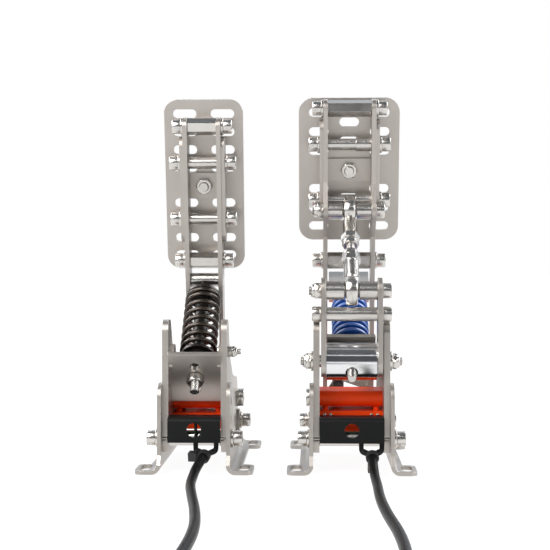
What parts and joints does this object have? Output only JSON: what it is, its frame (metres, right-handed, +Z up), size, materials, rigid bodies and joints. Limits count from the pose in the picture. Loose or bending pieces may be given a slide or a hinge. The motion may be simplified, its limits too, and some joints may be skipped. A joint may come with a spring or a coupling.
{
  "type": "sim racing pedal set",
  "caption": "Free-standing throttle and brake pedals for a driving simulator, with return springs, a brake rocker and turnbuckle, load cells and slotted feet.",
  "frame": {"origin": "centre of the footprint of both pedals, on the floor", "axes": "+X to the right in the rear view, throttle at -X and brake at +X; +Y forward, away from the picture's camera, the side the pedal faces are on; +Z up"},
  "size_m": [0.2142, 0.4905, 0.2502],
  "materials": {
    "steel_plate": "bead blasted",
    "bright_steel": "bright zinc",
    "aluminium": "turned and polished",
    "red_anodised": "satin anodised",
    "black_metal": "satin",
    "dark_spring": "satin",
    "blue_spring": "satin",
    "black_plastic": "moulded",
    "cable_jacket": "extruded",
    "circuit_board": "lacquered",
    "elastomer": "matt"
  },
  "bodies": {
    "frame": {"throttle_base_bracket_left": "steel_plate", "throttle_base_bracket_right": "steel_plate", "throttle_side_plate_left": "steel_plate", "throttle_side_plate_right": "steel_plate", "throttle_load_cell": "red_anodised", "throttle_electronics_cover": "black_metal", "throttle_circuit_board": "circuit_board", "throttle_frame_fasteners": "bright_steel", "throttle_pivot_axle": "bright_steel", "throttle_cable": "cable_jacket", "throttle_cable_coil": "cable_jacket", "throttle_cable_plug": "black_plastic", "throttle_cable_tie": "black_plastic", "brake_base_bracket_left": "steel_plate", "brake_base_bracket_right": "steel_plate", "brake_side_plate_left": "steel_plate", "brake_side_plate_right": "steel_plate", "brake_load_cell": "red_anodised", "brake_electronics_cover": "black_metal", "brake_circuit_board": "circuit_board", "brake_frame_fasteners": "bright_steel", "brake_pivot_axle": "bright_steel", "brake_cable": "cable_jacket", "brake_cable_coil": "cable_jacket", "brake_cable_plug": "black_plastic", "brake_cable_tie": "black_plastic", "throttle_spring_bracket": "steel_plate", "throttle_spring_seat": "bright_steel", "brake_rocker_axles": "bright_steel"},
    "throttle_pedal": {"throttle_arm_left": "steel_plate", "throttle_arm_right": "steel_plate", "throttle_arm_spacers": "bright_steel", "throttle_plate_bracket": "steel_plate", "throttle_plate_fasteners": "bright_steel", "throttle_pedal_plate": "steel_plate", "throttle_pivot_bush": "bright_steel", "throttle_pivot_ring": "black_plastic"},
    "throttle_rod": {"throttle_spring_rod": "bright_steel", "throttle_trunnion": "bright_steel", "throttle_spring": "dark_spring"},
    "brake_pedal": {"brake_arm_left": "steel_plate", "brake_arm_right": "steel_plate", "brake_arm_spacers": "bright_steel", "brake_plate_bracket": "steel_plate", "brake_plate_fasteners": "bright_steel", "brake_pedal_plate": "steel_plate", "brake_pivot_bush": "bright_steel", "brake_pivot_ring": "black_plastic", "brake_link_shaft": "bright_steel"},
    "brake_rocker": {"brake_rocker_left": "steel_plate", "brake_rocker_right": "steel_plate", "brake_rocker_shafts": "bright_steel"},
    "brake_link": {"brake_rod_ends": "bright_steel", "brake_link_stud": "bright_steel"},
    "brake_rod": {"brake_spring_rod": "bright_steel", "brake_spring": "blue_spring", "brake_spring_block": "aluminium", "brake_elastomer": "elastomer"},
    "brake_barrel": {"brake_barrel": "aluminium", "brake_seat_plate": "steel_plate"}
  },
  "joints": [
    {"name": "throttle_pedal", "type": "hinge", "parent": "frame", "child": "throttle_pedal", "pos_m": [-0.05262, 0.039, 0.038], "axis": [1, 0, 0], "range_deg": [0, 12], "stiffness_Nm_per_rad": 12, "springref_deg": -8.59, "deforming": ["throttle_spring"]},
    {"name": "throttle_rod", "type": "hinge", "parent": "throttle_pedal", "child": "throttle_rod", "pos_m": [-0.05262, 0.02015, 0.12304], "axis": [1, 0, 0], "range_deg": [-6.7, 0]},
    {"name": "brake_pedal", "type": "hinge", "parent": "frame", "child": "brake_pedal", "pos_m": [0.04888, 0.039, 0.038], "axis": [1, 0, 0], "range_deg": [0, 5.5], "stiffness_Nm_per_rad": 160, "springref_deg": -1.15, "deforming": ["brake_spring"]},
    {"name": "brake_rocker", "type": "hinge", "parent": "frame", "child": "brake_rocker", "pos_m": [0.04888, -0.05, 0.0715], "axis": [1, 0, 0], "range_deg": [0, 17]},
    {"name": "brake_link", "type": "hinge", "parent": "brake_pedal", "child": "brake_link", "pos_m": [0.04888, -0.004, 0.171], "axis": [1, 0, 0], "range_deg": [-6.2, 0]},
    {"name": "brake_rod", "type": "hinge", "parent": "brake_pedal", "child": "brake_rod", "pos_m": [0.04888, 0.02121, 0.11825], "axis": [1, 0, 0], "range_deg": [-3.75, 0]},
    {"name": "brake_barrel", "type": "hinge", "parent": "frame", "child": "brake_barrel", "pos_m": [0.04888, -0.05, 0.0715], "axis": [1, 0, 0], "range_deg": [0, 1.85]}
  ],
  "couplings": [
    {"joint": "throttle_rod", "follows": "throttle_pedal", "ratio": -0.5545},
    {"joint": "brake_rocker", "follows": "brake_pedal", "ratio": 3.08},
    {"joint": "brake_link", "follows": "brake_pedal", "ratio": -1.12},
    {"joint": "brake_rod", "follows": "brake_pedal", "ratio": -0.6735},
    {"joint": "brake_barrel", "follows": "brake_pedal", "ratio": 0.3265}
  ]
}
